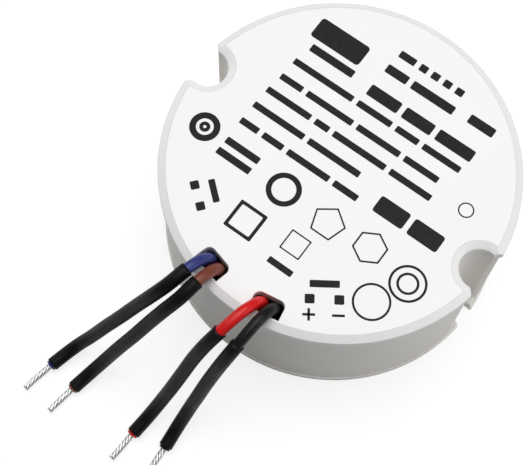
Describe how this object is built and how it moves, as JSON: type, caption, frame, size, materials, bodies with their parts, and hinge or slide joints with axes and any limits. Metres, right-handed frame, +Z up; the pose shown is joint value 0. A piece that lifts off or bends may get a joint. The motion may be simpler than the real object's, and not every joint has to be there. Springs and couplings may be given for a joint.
{
  "type": "led driver",
  "caption": "Round white LED driver with open screw notches, a press-on cover and short sleeved input and output leads",
  "frame": {"origin": "middle of the underside, on the surface it stands on", "axes": "X through the two screw notches, Y away from the leads, Z up out of the cover"},
  "size_m": [0.0648, 0.0961, 0.0328],
  "materials": {
    "white_shell": "fine satin",
    "board_laminate": "solder mask",
    "tinned_metal": "tinned",
    "blue_lacquer": "dipped lacquer",
    "yellow_plastic": "moulded and taped",
    "red_lacquer": "dipped lacquer",
    "ferrite": "sintered",
    "enamelled_copper": "enamelled wire",
    "capacitor_film": "shrunk film",
    "resistor_lacquer": "lacquer",
    "black_plastic": "moulded",
    "black_sleeving": "soft satin",
    "blue_insulation": "soft satin",
    "brown_insulation": "soft satin",
    "red_insulation": "soft satin",
    "black_insulation": "soft satin"
  },
  "bodies": {
    "root": {"case": "white_shell", "cover": "white_shell", "circuit_board": "board_laminate", "solder_joints": "tinned_metal", "fuse": "black_plastic", "varistor": "blue_lacquer", "x_capacitor": "yellow_plastic", "choke_base": "black_plastic", "choke_core": "ferrite", "choke_windings": "enamelled_copper", "bridge_rectifier": "black_plastic", "film_capacitor": "red_lacquer", "transformer_bobbin": "black_plastic", "lower_core": "ferrite", "upper_core": "ferrite", "transformer_winding": "yellow_plastic", "switch_transistor": "black_plastic", "transistor_tab": "tinned_metal", "output_diode": "black_plastic", "diode_tab": "tinned_metal", "output_capacitor_a": "capacitor_film", "output_capacitor_b": "capacitor_film", "supply_capacitor": "capacitor_film", "y_capacitor": "blue_lacquer", "output_inductor": "ferrite", "controller_chip": "black_plastic", "small_parts": "resistor_lacquer", "snubber_resistors": "resistor_lacquer", "blue_lead_inner": "blue_insulation", "brown_lead_inner": "brown_insulation", "red_lead_inner": "red_insulation", "black_lead_inner": "black_insulation", "blue_lead": "blue_insulation", "brown_lead": "brown_insulation", "red_lead": "red_insulation", "black_lead": "black_insulation", "blue_sleeve": "black_sleeving", "brown_sleeve": "black_sleeving", "red_sleeve": "black_sleeving", "black_sleeve": "black_sleeving", "blue_tip": "tinned_metal", "brown_tip": "tinned_metal", "red_tip": "tinned_metal", "black_tip": "tinned_metal"}
  },
  "joints": []
}
